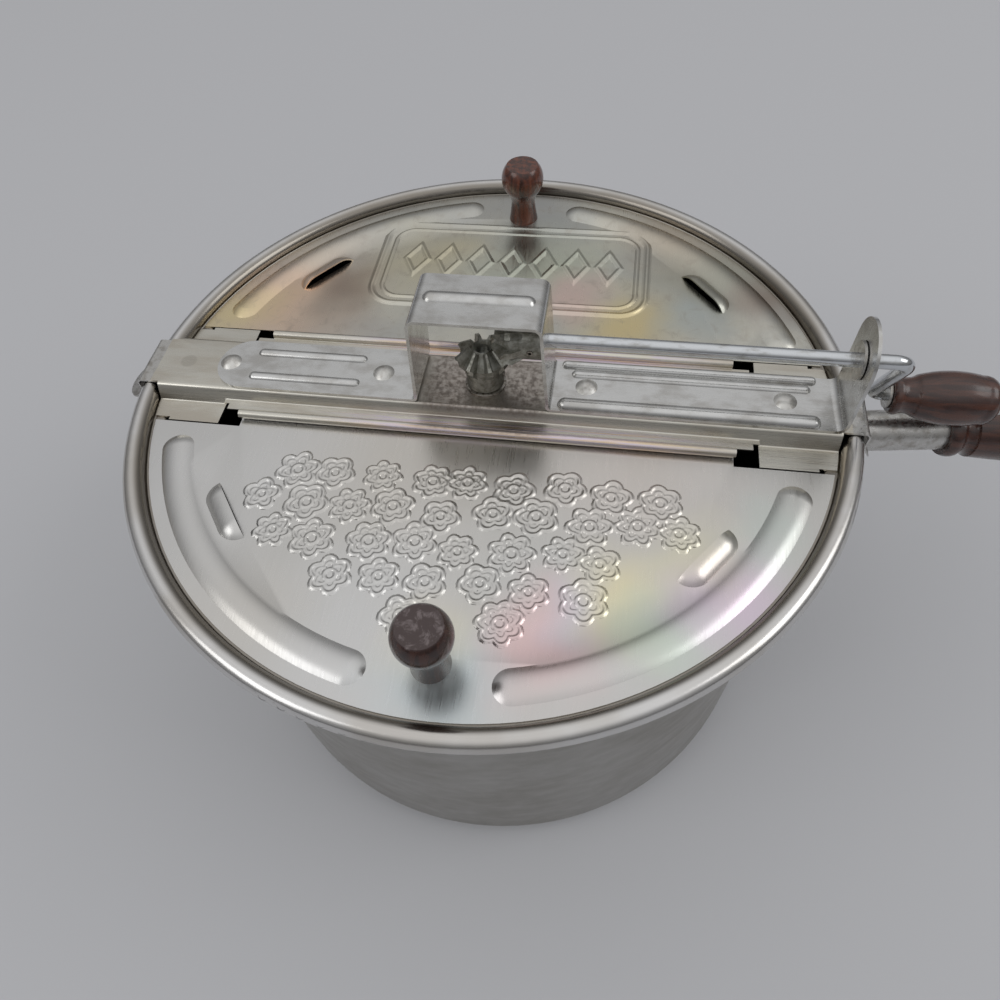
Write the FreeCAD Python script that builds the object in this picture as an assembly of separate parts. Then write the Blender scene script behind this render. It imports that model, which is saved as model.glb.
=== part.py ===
import FreeCAD, Part
import math
import os
from FreeCAD import Vector

# Stovetop popcorn popper. Millimetres, +Z up, origin at the centre of the pot's flat base.
# +X runs along the lid's crossbar towards the crank.

# Driving sizes: pot
bead_d = 241.3            # outer diameter of the rolled rim bead
bead_tube = 6.8           # thickness of the rolled bead
bead_z = 148.0            # height of the bead's centre
ledge_w = 3.35            # seat ledge, from the wall to the bead's inner edge
wall_t = 1.0
base_corner_r = 13.5      # outside radius between base and wall
seat_z = 147.0            # top of the ledge that the lid rests on
seat_bend_r = 1.0

# Driving sizes: handle
handle_turn = 7.5         # angle from the crossbar to the handle, seen from above
handle_drop = 25.0        # handle axis below the bead's centre
saddle_w = 44.0
saddle_h = 32.0
saddle_t = 1.5
boss_len = 17.0
ferrule_d = 14.5
ferrule_t = 0.8
ferrule_len = 47.0
grip_len = 104.0
grip_d = 27.0
bolt_d = 5.0
handle_rivet_d = 4.0
handle_rivet_pitch = 30.0

# Driving sizes: crossbar and lid leaves
bar_t = 0.6
bar_half_w = 11.0         # half width of the flat top
bar_rise = 4.75           # flat top above the bead's centre
bar_end_in = 4.95         # end of the flat top in from the bead's outside
lid_t = 0.5
lid_rim_gap = 0.95        # lid's edge to the bead
hinge_y = 19.0            # hinge axes from the centre line
hem_r = 0.9               # rolled hem of a leaf
hem_clear = 0.1
leaf_clear = 0.3          # leaf to the outside of the hinge curl
hinge_half_len = 81.0
web_half_len = 86.4
tab_start = 88.4
slot_ledge = 1.9          # ledge that stays between web and tab
tab_edge = 22.4
tab_notch = 5.0
leaf_gap = 0.5            # leaf to the end tabs
rim_clear = 0.55          # bar's tabs to the rim
leaf_swing = 80.0         # a leaf's travel from shut to upright
curl_end = -42.0          # angle of the curl's free edge about the hinge axis

# Driving sizes: embossed forms of the leaves
arc_ridge_in = 9.3        # ridge's middle in from the lid's edge
arc_ridge_w = 10.4
arc_ridge_h = 1.5
arc_ridge_spans = ((19.0, 77.6), (102.4, 161.0))
louvre_in = 22.4          # slit in from the lid's edge
louvre_turn = 38.0
louvre_len = 24.0
louvre_w = 12.4
louvre_h = 2.8
knob_in = 15.4            # knob's axis in from the lid's edge
knob_h = 23.0
knob_ball_r = 8.2
knob_stem_r = 5.3
knob_face_r = 6.1
knob_screw_d = 3.5

# Driving sizes: bracket
bracket_t = 1.0
bracket_half_w = 11.0
foot_left_in = 21.9       # end of the left foot in from the bar's end
box_half_base = 21.6
box_half_top = 19.8
box_top_rise = 39.4       # top of the gear box above the bead's centre
upright_in = 2.7          # upright in from the bar's end
rod_rise = 25.3           # crank rod axis above the bead's centre
rivet_end_in = (26.3, 19.8)       # outer rivets in from the bar's ends, left and right
rivet_box_out = (13.3, 11.7)      # inner rivets out from the gear box's base, left and right
left_rib_y = 5.5
left_rib_ends = (12.8, 20.4)      # in from the foot's end, out from the box's base
box_rib_half = 17.0
long_rib_y = 5.45
long_rib_ends = (6.4, 9.0)        # out from the box's base, in from the upright
rail_ends = (2.9, 7.0)            # out from the box's base, in from the upright
front_rail = (-8.3, 5.2, 2.2)     # centre, width and height
rear_rail = (9.3, 3.3, 1.5)
head_rise = 2.0                   # centre of the upright's round head above the rod
rivet_d = 3.4
rivet_head_d = 7.2
rivet_head_h = 1.5
hole_clear = 0.05

# Driving sizes: rods and gears
rod_d = 4.4
run_clear = 0.08
gear_teeth = 8
gear_pitch_r = 8.2
tooth_face = 5.8
tooth_top = 1.5
tooth_root = 1.9
tooth_half_tip = 0.62
tooth_half_root = 1.55
hub_d = 12.4
hub_back = 19.6           # back of the hub from the gears' common apex
pin_back = 15.8           # roll pin from the apex
pin_d = 2.0
shaft_back = 7.5          # end of each shaft from the apex
crank_gap = 5.95          # plane of the crank's arm out from the bead
crank_throw = 34.0
crank_lean = 28.5         # crank arm from straight down, at rest
crank_bend_r = 5.0
crank_knob_len = 33.0
crank_knob_r = 9.0
washer_t = 0.8

# Driving sizes: stirrer and rim clips
bush_flange_r = 6.8
bush_flange_h = 0.8
bush_body_r = 4.5
wire_d = 3.0
wire_z = 4.6
wire_wall_gap = 11.5      # wire's upturned ends in from the wall
wire_bend_r = 6.0
wire_tip = 10.0
clip_t = 0.5
clip_half_w = 10.0
clip_lap = 14.7           # weld lap under the bar's end
clip_flare = (11.0, 2.2)          # free end out from the bead, left and right
clip_fall = ((3.5, 8.5), (2.5, 6.0))  # bend and free end below the bead's centre, left and right
bush_swage_h = 3.4        # swaged part below the bar
bush_swage_w = 1.4

# Sizes that follow from the driving ones
bead_r = bead_d / 2
tube_r = bead_tube / 2
bead_mid_r = bead_r - tube_r
rim_inner_r = bead_mid_r - tube_r
wall_r = rim_inner_r - ledge_w
lid_r = rim_inner_r - lid_rim_gap
arc_ridge_r = lid_r - arc_ridge_in
louvre_r = lid_r - louvre_in
knob_y = lid_r - knob_in
bar_overhang = bead_r - bar_end_in
foot_left = bar_overhang - foot_left_in
upright_x = bar_overhang - upright_in
rivet_x = (-(bar_overhang - rivet_end_in[0]), -(box_half_base + rivet_box_out[0]),
           box_half_base + rivet_box_out[1], bar_overhang - rivet_end_in[1])
left_rib_x = (-(foot_left - left_rib_ends[0]), -(box_half_base + left_rib_ends[1]))
long_rib_x = (box_half_base + long_rib_ends[0], upright_x - long_rib_ends[1])
rail_x = (box_half_base + rail_ends[0], upright_x - rail_ends[1])
crank_x = bead_r + crank_gap
wire_reach = wall_r - wall_t - wire_wall_gap
clip_in = bar_overhang - clip_lap
beyond = 2 * bead_r       # longer than any piece, for cutting planes
rod_r = rod_d / 2
rod_z = bead_z + rod_rise
bar_top = bead_z + bar_rise
foot_top = bar_top + bracket_t
curl_in = hem_r + hem_clear
curl_mid = curl_in + bar_t / 2
leaf_bend = curl_in + bar_t + leaf_clear + lid_t / 2
hinge_z = seat_z + lid_t / 2 + leaf_bend
flange_z = hinge_z - 0.53
arm_angle = curl_end - leaf_swing - 18.0
tongue_half_w = bar_half_w - 0.8
bar_rim_r = rim_inner_r - rim_clear


def box(x0, y0, z0, x1, y1, z1):
    return Part.makeBox(x1 - x0, y1 - y0, z1 - z0, Vector(x0, y0, z0))


def rod(radius, start, end):
    run = end - start
    return Part.makeCylinder(radius, run.Length, start, run)


def line(a, b):
    return Part.LineSegment(a, b).toShape()


def strip_face(points, bends, t, place):
    """Section of a bent sheet of thickness t. points run along its middle, bends are the
    middle radii at the inner points, and place turns a 2D point into a 3D one."""
    pts = [FreeCAD.Vector(p[0], p[1], 0) for p in points]
    sides = ([], [])
    start = pts[0]
    across = None
    for i in range(1, len(pts)):
        along = (pts[i] - pts[i - 1]).normalize()
        across = Vector(-along.y, along.x, 0)
        end = pts[i]
        if i < len(pts) - 1:
            nxt = (pts[i + 1] - pts[i]).normalize()
            turn = math.atan2(along.x * nxt.y - along.y * nxt.x, along.dot(nxt))
            cut = bends[i - 1] * math.tan(abs(turn) / 2)
            end = pts[i] - along * cut
        if (end - start).Length > 1e-4:
            for side, sign in zip(sides, (1, -1)):
                side.append(("line", start + across * (sign * t / 2), end + across * (sign * t / 2)))
        if i < len(pts) - 1:
            hand = 1 if turn > 0 else -1
            centre = end + across * (hand * bends[i - 1])
            after = pts[i] + nxt * cut
            middle = (pts[i] - centre).normalize()
            for side, sign in zip(sides, (1, -1)):
                r = bends[i - 1] - hand * sign * t / 2
                a = centre + (end - centre).normalize() * r
                b = centre + (after - centre).normalize() * r
                side.append(("arc", a, centre + middle * r, b))
            start = after
    edges = []
    for side in sides:
        for kind, *p in side:
            p = [place(q.x, q.y) for q in p]
            edges.append(line(*p) if kind == "line" else Part.Arc(*p).toShape())
    left, right = sides
    edges.append(line(place(*left[0][1][:2]), place(*right[0][1][:2])))
    edges.append(line(place(*left[-1][-1][:2]), place(*right[-1][-1][:2])))
    return Part.Face(Part.Wire(Part.__sortEdges__(edges)))


def on_xz(x, z):
    return Vector(x, 0, z)


def turned(points):
    """A solid of revolution about Z from its (radius, height) outline. A point of three
    values is the middle of an arc through its neighbours."""
    edges = []
    ring = points + [points[0]]
    i = 0
    while i < len(ring) - 1:
        a = on_xz(*ring[i][:2])
        if len(ring[i + 1]) == 3:
            edges.append(Part.Arc(a, on_xz(*ring[i + 1][:2]), on_xz(*ring[i + 2][:2])).toShape())
            i += 2
        else:
            edges.append(line(a, on_xz(*ring[i + 1][:2])))
            i += 1
    return Part.Face(Part.Wire(edges)).revolve(Vector(), Vector(0, 0, 1), 360)


def dome(radius, height, foot=0.0):
    """Outline of a spherical cap, from its rim to its crown."""
    sphere = (radius * radius + height * height) / (2 * height)
    half = math.asin(min(1.0, radius / sphere)) / 2
    return [(radius, foot), (sphere * math.sin(half), foot + height - sphere * (1 - math.cos(half)), 0),
            (0, foot + height)]


def to_x(shape, x, y, z):
    """Lays a solid that was made along +Z along +X, with its foot at x, y, z."""
    out = shape.copy()
    out.rotate(Vector(), Vector(0, 1, 0), 90)
    out.translate(Vector(x, y, z))
    return out


def rib_radius(width, height):
    return (width * width / 4 + height * height) / (2 * height)


def pill(start, end, radius):
    body = rod(radius, start, end)
    return body.fuse([Part.makeSphere(radius, start), Part.makeSphere(radius, end)])


def emboss(sheet, start, end, width, height, t):
    """Raises a straight rib with round ends out of a level sheet. start and end lie on the
    sheet's top face."""
    r = rib_radius(width, height)
    inset = (end - start).normalize() * (width / 2)
    drop = Vector(0, 0, height - r)
    top = start.z
    a, b = start + inset + drop, end - inset + drop
    reach = 2 * r
    keep = box(start.x - reach, start.y - reach, top - t / 2, end.x + reach, end.y + reach, top + reach)
    raised = sheet.fuse(pill(a, b, r).common(keep))
    return raised.cut(pill(a, b, r - t))


# Pot: one spun sheet, from the base's centre up the wall and out over the seat, with a closed rolled bead
def make_pot():
    mid_r = wall_r - wall_t / 2
    roll = tube_r - wall_t / 2
    rim_x = bead_mid_r - roll
    seat_mid = seat_z - wall_t / 2
    path = [(0, wall_t / 2), (mid_r, wall_t / 2), (mid_r, seat_mid), (rim_x, seat_mid), (rim_x, bead_z)]
    bends = [base_corner_r - wall_t / 2, seat_bend_r, seat_bend_r]
    body = strip_face(path, bends, wall_t, on_xz).revolve(Vector(), Vector(0, 0, 1), 360)
    body = body.fuse(Part.makeTorus(bead_mid_r, tube_r, Vector(0, 0, bead_z)))
    for y in (-handle_rivet_pitch / 2, handle_rivet_pitch / 2):
        body = body.cut(on_handle(rod(handle_rivet_d / 2 + hole_clear,
                                      Vector(wall_r - 12, y, handle_z), Vector(wall_r + 4, y, handle_z))))
    return body.cut(make_pot_bottom())


# The flat of the pot's base, out to where the corner starts to rise: one sheet with the wall on the real pot
def make_pot_bottom():
    return Part.makeCylinder(wall_r - base_corner_r, wall_t)


# Handle: every piece is made along +X and then turned about the pot's axis
handle_z = bead_z - handle_drop
saddle_out = wall_r + saddle_t
ferrule_start = saddle_out + 0.2
ferrule_end = ferrule_start + ferrule_len
boss_r = ferrule_d / 2 - ferrule_t - 0.1
spigot_len = 8.0
spigot_r = boss_r
grip_end = ferrule_end + grip_len


def on_handle(shape):
    out = shape.copy()
    out.rotate(Vector(), Vector(0, 0, 1), handle_turn)
    return out


def make_saddle():
    ring = Part.makeCylinder(saddle_out, saddle_h, Vector(0, 0, handle_z - saddle_h / 2))
    ring = ring.cut(Part.makeCylinder(wall_r, saddle_h, Vector(0, 0, handle_z - saddle_h / 2)))
    blank = box(wall_r - 20, -saddle_w / 2, handle_z - saddle_h / 2,
                saddle_out + 20, saddle_w / 2, handle_z + saddle_h / 2)
    along = [e for e in blank.Edges if abs(e.Vertexes[0].X - e.Vertexes[1].X) > 1]
    plate = ring.common(blank.makeFillet(saddle_h * 0.4, along))
    plate = plate.fuse(rod(boss_r, Vector(wall_r + saddle_t / 2, 0, handle_z),
                           Vector(saddle_out + boss_len, 0, handle_z)))
    collar = Part.makeCone(boss_r + 5, boss_r + 1.5, 3.4, Vector(saddle_out - 2.6, 0, handle_z), Vector(1, 0, 0))
    plate = plate.fuse(collar).cut(Part.makeCylinder(wall_r, beyond))
    plate = plate.cut(rod(bolt_d / 2 + hole_clear, Vector(saddle_out + 1.5, 0, handle_z),
                          Vector(saddle_out + boss_len + 1, 0, handle_z)))
    for y in (-handle_rivet_pitch / 2, handle_rivet_pitch / 2):
        plate = plate.cut(rod(handle_rivet_d / 2 + hole_clear,
                              Vector(wall_r - 12, y, handle_z), Vector(wall_r + 9, y, handle_z)))
    return on_handle(plate)


def make_handle_rivets():
    rivets = []
    for y in (-handle_rivet_pitch / 2, handle_rivet_pitch / 2):
        inner = math.sqrt((wall_r - wall_t) ** 2 - y * y)
        outer = math.sqrt(saddle_out ** 2 - y * y)
        r = handle_rivet_d / 2
        shank = rod(r, Vector(inner - 1.0, y, handle_z), Vector(outer + 0.8, y, handle_z))
        inside = rod(r * 1.8, Vector(inner - 1.7, y, handle_z), Vector(inner - 0.65, y, handle_z))
        head = to_x(turned([(0, 0)] + dome(r * 2, 1.8)), outer + 0.55, y, handle_z)
        rivets.append(on_handle(shank.fuse([inside, head])))
    return Part.makeCompound(rivets)


def make_ferrule():
    r = ferrule_d / 2
    flare = 3.6
    start = ferrule_start + 0.9
    outline = [(boss_r + 0.1, start), (r + flare, start), (r + flare, start + 0.8),
               (r, start + 0.8 + flare * 1.4), (r, ferrule_end), (r - ferrule_t, ferrule_end),
               (r - ferrule_t, start + 0.9)]
    return on_handle(to_x(turned(outline), 0, 0, handle_z))


def make_grip():
    neck = ferrule_d / 2 + 1.8
    swell = grip_d / 2
    a = ferrule_end
    outline = [(bolt_d / 2 + 0.1, a - spigot_len), (spigot_r, a - spigot_len), (spigot_r, a + 0.1),
               (neck, a + 0.1), (neck + 0.6, a + 1.4, 0), (neck + 0.6, a + 4), (neck - 0.6, a + 6.5, 0),
               (neck + 0.9, a + 9), (swell, a + grip_len * 0.55, 0), (swell - 2.2, a + grip_len * 0.88),
               (swell - 4.5, grip_end - 3, 0), (ferrule_d / 2 - 0.4, grip_end),
               (bolt_d / 2 + 0.1, grip_end)]
    return on_handle(to_x(turned(outline), 0, 0, handle_z))


def make_handle_bolt():
    shank = rod(bolt_d / 2, Vector(saddle_out + 4, 0, handle_z), Vector(grip_end + washer_t + 0.6, 0, handle_z))
    head = to_x(turned([(0, 0)] + dome(4.6, 3.0)), grip_end + washer_t + 0.5, 0, handle_z)
    slot = box(grip_end + washer_t + 2.6, -0.6, handle_z - 6, grip_end + washer_t + 6, 0.6, handle_z + 6)
    return on_handle(shank.fuse(head).cut(slot))


def make_handle_washer():
    start = grip_end + 0.05
    ring = rod(6.4, Vector(start, 0, handle_z), Vector(start + washer_t, 0, handle_z))
    return on_handle(ring.cut(rod(bolt_d / 2 + hole_clear, Vector(start - 1, 0, handle_z),
                                  Vector(start + 3, 0, handle_z))))


# Crossbar: channel sections laid along X, one for the hinge length, one for the plain webs
# and one for the end tabs, then trimmed round inside the rim
bar_mid = bar_top - bar_t / 2
slope_foot = 13.6


def slope_y(z):
    """The channel's side is one slope from the flat top to the end tab's level."""
    low = seat_z + bar_t / 2
    return bar_half_w + (slope_foot - bar_half_w) * (bar_mid - z) / (bar_mid - low)


def bar_piece(points, bends, x0, x1):
    pieces = []
    for side in (1, -1):
        face = strip_face([(side * p[0], p[1]) for p in points], bends, bar_t, lambda y, z: Vector(x0, y, z))
        pieces.append(face.extrude(Vector(x1 - x0, 0, 0)))
    return pieces


def make_crossbar():
    corner = bar_t
    end_angle = math.radians(curl_end)
    curl = [(hinge_y - curl_mid, hinge_z + curl_mid), (hinge_y + curl_mid, hinge_z + curl_mid)]
    tip = (hinge_y + curl_mid * math.cos(end_angle), hinge_z + curl_mid * math.sin(end_angle))
    heading = (tip[0] + math.sin(end_angle) * 0.01, tip[1] - math.cos(end_angle) * 0.01)
    # the last bend ends on the curl's circle: its corner lies where the two tangents meet
    half = -end_angle / 2
    corner_pt = (hinge_y + curl_mid, hinge_z - curl_mid * math.tan(half))
    top = [(0, bar_mid), (bar_half_w, bar_mid)]
    web_foot = (slope_y(flange_z), flange_z)
    tab_foot = (slope_y(seat_z + bar_t / 2), seat_z + bar_t / 2)
    hinge = top + [web_foot, (hinge_y - curl_mid, flange_z)] + curl + [corner_pt, heading]
    hinge_bends = [1.2, corner + 0.3, corner - 0.1, curl_mid, curl_mid, curl_mid]
    web = top + [web_foot, (hinge_y - curl_mid - 0.6, flange_z)]
    tab = top + [tab_foot, (tab_edge, seat_z + bar_t / 2)]
    ledge = top + [web_foot, (slope_y(flange_z) + slot_ledge, flange_z)]
    pieces = bar_piece(hinge, hinge_bends, -hinge_half_len, hinge_half_len)
    for s in (1, -1):
        spans = [(web, [1.2, corner + 0.3], hinge_half_len, web_half_len),
                 (ledge, [1.2, corner + 0.3], web_half_len, tab_start),
                 (tab, [1.2, corner + 0.3], tab_start, bar_overhang + 4)]
        for points, bends, x0, x1 in spans:
            pieces += bar_piece(points, bends, *sorted((s * x0, s * x1)))
    bar = pieces[0].fuse(pieces[1:])
    # past the rim only a flat tongue stays
    inside = Part.makeCylinder(bar_rim_r, 20, Vector(0, 0, seat_z - 10))
    tongue = box(-bar_overhang, -tongue_half_w, bar_top - 2 * bar_t, bar_overhang, tongue_half_w, bar_top + 1)
    bar = bar.common(inside.fuse(tongue))
    for s in (1, -1):
        for side in (1, -1):
            x = s * math.sqrt(bar_rim_r ** 2 - tab_edge ** 2)
            notch = box(x - tab_notch, side * tab_edge - 1.2, seat_z - 1, x + tab_notch, side * tab_edge + 1.2,
                        seat_z + 2)
            bar = bar.cut(notch)
    bar = bar.cut(Part.makeCylinder(bush_body_r + hole_clear, 10, Vector(0, 0, bar_top - 5)))
    for x in rivet_x:
        bar = bar.cut(Part.makeCylinder(rivet_d / 2 + hole_clear, 10, Vector(x, 0, bar_top - 5)))
    return bar.removeSplitter()


# Gear bracket: one strip bent into left foot, gear box, right foot and end upright
def make_bracket():
    half = bracket_t / 2
    foot_mid = bar_top + half
    top_mid = bead_z + box_top_rise - half
    head_z = rod_z + head_rise
    path = [(-foot_left, foot_mid), (-box_half_base, foot_mid), (-box_half_top, top_mid),
            (box_half_top, top_mid), (box_half_base, foot_mid), (upright_x, foot_mid),
            (upright_x, head_z + bracket_half_w)]
    face = strip_face(path, [1.5, 2.5, 2.5, 1.5, 3.0], bracket_t, lambda x, z: Vector(x, -bracket_half_w, z))
    strip = face.extrude(Vector(0, 2 * bracket_half_w, 0))
    # round the left foot's end and the upright's head
    left_end = Part.makeCylinder(bracket_half_w, 6, Vector(-foot_left + bracket_half_w, 0, bar_top - 2))
    strip = strip.cut(box(-foot_left - 1, -20, bar_top - 2, -foot_left + bracket_half_w, 20, bar_top + 4)
                      .cut(left_end))
    head = rod(bracket_half_w, Vector(upright_x - 4, 0, head_z), Vector(upright_x + 4, 0, head_z))
    strip = strip.cut(box(upright_x - 3, -20, head_z, upright_x + 3, 20, head_z + 20).cut(head))
    # ribs: two on the left foot, one on the box, one long one on the right foot
    for y in (-left_rib_y, left_rib_y):
        strip = emboss(strip, Vector(left_rib_x[0], y, foot_top), Vector(left_rib_x[1], y, foot_top),
                       3.6, 1.05, bracket_t)
    box_top = bead_z + box_top_rise
    strip = emboss(strip, Vector(-box_rib_half, 0.5, box_top), Vector(box_rib_half, 0.5, box_top),
                   5.0, 1.3, bracket_t)
    strip = emboss(strip, Vector(long_rib_x[0], long_rib_y, foot_top), Vector(long_rib_x[1], long_rib_y, foot_top),
                   3.6, 1.05, bracket_t)
    # raised side rails of the right foot
    for y, width, height in (front_rail, rear_rail):
        strip = emboss(strip, Vector(rail_x[0], y, foot_top), Vector(rail_x[1], y, foot_top),
                       width, height, bracket_t)
    # bearing holes for the crank rod, rivet holes
    for x in (box_half_top, upright_x):
        strip = strip.cut(rod(rod_r + run_clear, Vector(x - 5, 0, rod_z), Vector(x + 5, 0, rod_z)))
    for x in rivet_x:
        strip = strip.cut(Part.makeCylinder(rivet_d / 2 + hole_clear, 6, Vector(x, 0, bar_top - 2)))
    return strip


def make_bracket_rivets():
    rivets = []
    r = rivet_head_d / 2
    for x in rivet_x:
        low = bar_top - bar_t
        shank = Part.makeCylinder(rivet_d / 2, foot_top - low + 0.4, Vector(x, 0, low - 0.2))
        head = turned([(0, foot_top)] + dome(r, rivet_head_h, foot_top))
        tail = Part.makeCylinder(rivet_d * 0.8, 0.9, Vector(0, 0, low - 0.9))
        for piece in (head, tail):
            piece.translate(Vector(x, 0, 0))
        rivets.append(shank.fuse([head, tail]))
    return Part.makeCompound(rivets)


# Stirrer bushing: flange on the bar, body through it, swaged below
def make_bushing():
    low = bar_top - bar_t
    bore = rod_r + run_clear
    swage_r = bush_body_r + bush_swage_w
    return turned([(bore, low - bush_swage_h), (swage_r, low - bush_swage_h), (swage_r, low), (bush_body_r, low),
                   (bush_body_r, bar_top), (bush_flange_r, bar_top), (bush_flange_r, bar_top + bush_flange_h * 0.6),
                   (bush_flange_r - 0.6, bar_top + bush_flange_h), (bore, bar_top + bush_flange_h)])


# Rim clips: spring strips welded under the bar's ends and bent down outside the bead
def make_rim_clip(side):
    z = bar_top - bar_t - clip_t / 2
    out = bead_r + 0.35 + clip_t / 2
    which = 0 if side < 0 else 1
    far = out + clip_flare[which]
    bend_z, end_z = (bead_z - fall for fall in clip_fall[which])
    path = [(clip_in, z), (out, z), (out, bend_z), (far, end_z)]
    bends = [(1.6, 3.0), (1.6, 1.5)][which]
    face = strip_face([(side * p[0], p[1]) for p in path], bends, clip_t,
                      lambda x, z: Vector(x, -clip_half_w, z))
    strip = face.extrude(Vector(0, 2 * clip_half_w, 0))
    # the long tongue's free end is rounded, seen from above
    if side < 0:
        nose = Part.makeCylinder(clip_half_w, beyond, Vector(side * (far - clip_half_w), 0, 0))
        tail = box(*sorted_box(side * (far - clip_half_w), 0, -beyond, beyond, 0, beyond))
        strip = strip.common(nose.fuse(tail))
    return strip


def sorted_box(x0, x1, y0, y1, z0, z1):
    return min(x0, x1), y0, z0, max(x0, x1), y1, z1


# Lid leaves: made for the rear (+Y) side, and turned half round for the front
def make_leaf(side):
    top = seat_z + lid_t
    inner = tab_edge + leaf_gap
    disc = Part.makeCylinder(lid_r, lid_t, Vector(0, 0, seat_z))
    leaf = disc.common(box(-beyond, inner, seat_z - 1, beyond, beyond, top + 1))
    arm = math.radians(arm_angle)
    root = (hinge_y + hem_r * 0.7 * math.cos(arm), hinge_z + hem_r * 0.7 * math.sin(arm))
    # the arm leaves the hem radially, runs round the curl and becomes the leaf
    knee = (hinge_y + leaf_bend * 1.02 * math.cos(arm), hinge_z + leaf_bend * 1.02 * math.sin(arm))
    ring = [knee, (hinge_y - leaf_bend * math.tan(math.radians(-90 - arm_angle) / 2), seat_z + lid_t / 2)]
    path = [root] + ring + [(inner + 1.5, seat_z + lid_t / 2)]
    face = strip_face(path, [0.3, 0.9], lid_t, lambda y, z: Vector(-hinge_half_len + 0.4, y, z))
    length = 2 * (hinge_half_len - 0.4)
    strip = face.extrude(Vector(length, 0, 0))
    hem = rod(hem_r, Vector(-length / 2, hinge_y, hinge_z), Vector(length / 2, hinge_y, hinge_z))
    leaf = leaf.fuse([strip, hem])
    leaf = add_arc_ridges(leaf, top)
    leaf = add_louvres(leaf, top)
    leaf = leaf.cut(Part.makeCylinder(knob_screw_d / 2 + hole_clear, 4, Vector(0, knob_y, seat_z - 2)))
    leaf = leaf.removeSplitter()
    if side < 0:
        leaf.rotate(Vector(), Vector(0, 0, 1), 180)
    return leaf


def add_arc_ridges(leaf, top):
    """A shallow raised ridge follows the rim on each side of the knob."""
    r = rib_radius(arc_ridge_w, arc_ridge_h)
    z = top + arc_ridge_h - r
    keep = Part.makeCylinder(lid_r, r, Vector(0, 0, top - lid_t / 2))
    solids = []
    for radius in (r, r - lid_t):
        pieces = []
        for a0, a1 in arc_ridge_spans:
            ring = Part.makeTorus(arc_ridge_r, radius, Vector(0, 0, z), Vector(0, 0, 1), 0, 360, a1 - a0)
            ring.rotate(Vector(), Vector(0, 0, 1), a0)
            ends = []
            for a in (a0, a1):
                centre = Vector(arc_ridge_r * math.cos(math.radians(a)), arc_ridge_r * math.sin(math.radians(a)), z)
                ends.append(Part.makeSphere(radius, centre))
            pieces.append(ring.fuse(ends))
        solids.append(pieces)
    for outer, hollow in zip(*solids):
        leaf = leaf.fuse(outer.common(keep)).cut(hollow)
    return leaf


def add_louvres(leaf, top):
    """Two steam louvres: a hood raised on the rim's side of a slit that faces the middle."""
    r = rib_radius(louvre_w, louvre_h)
    half = louvre_len / 2 - louvre_w / 2
    for turn in (louvre_turn, 180 - louvre_turn):
        centre = Vector(louvre_r, 0, top + louvre_h - r)
        outer_half = box(louvre_r, -beyond, top - lid_t / 2, beyond, beyond, top + r)
        slit_half = box(louvre_r, -beyond, top - r, beyond, beyond, top + r)
        hood = pill(centre - Vector(0, half, 0), centre + Vector(0, half, 0), r).common(outer_half)
        hollow = pill(centre - Vector(0, half, 0), centre + Vector(0, half, 0), r - lid_t).common(slit_half)
        for piece in (hood, hollow):
            piece.rotate(Vector(), Vector(0, 0, 1), turn)
        leaf = leaf.fuse(hood).cut(hollow)
    return leaf


def make_lid_knob(side):
    """Turned knob: a stem that flares into a ball with a flat face on top."""
    foot = seat_z + lid_t
    ball_z = foot + knob_h - math.sqrt(knob_ball_r ** 2 - knob_face_r ** 2)
    neck_z = foot + 8.0
    neck_r = knob_stem_r - 0.7
    low = math.radians(-38)
    knob = turned([(0, foot), (knob_stem_r + 0.4, foot), (knob_stem_r - 0.2, foot + 3.6, 0), (neck_r, neck_z),
                   (neck_r + 0.9, (neck_z + ball_z + knob_ball_r * math.sin(low)) / 2 + 0.6, 0),
                   (knob_ball_r * math.cos(low), ball_z + knob_ball_r * math.sin(low)),
                   (knob_ball_r, ball_z, 0), (knob_face_r, foot + knob_h), (0, foot + knob_h)])
    knob = knob.cut(Part.makeCylinder(knob_screw_d / 2 + hole_clear, 13, Vector(0, 0, foot)))
    knob.translate(Vector(0, side * knob_y, 0))
    return knob


def make_knob_washer(side):
    ring = Part.makeCylinder(5.0, washer_t, Vector(0, side * knob_y, seat_z - washer_t))
    return ring.cut(Part.makeCylinder(knob_screw_d / 2 + hole_clear, 4, Vector(0, side * knob_y, seat_z - 2)))


def make_knob_screw(side):
    low = seat_z - washer_t
    shank = Part.makeCylinder(knob_screw_d / 2, 13.0, Vector(0, side * knob_y, low - 0.5))
    head = turned([(0, low - 2.2), (2.0, low - 2.2), (3.3, low - 1.4, 0), (3.5, low), (0, low)])
    head.translate(Vector(0, side * knob_y, 0))
    slot = box(-0.5, side * knob_y - 4, low - 3, 0.5, side * knob_y + 4, low - 1.3)
    return shank.fuse(head).cut(slot)


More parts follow.
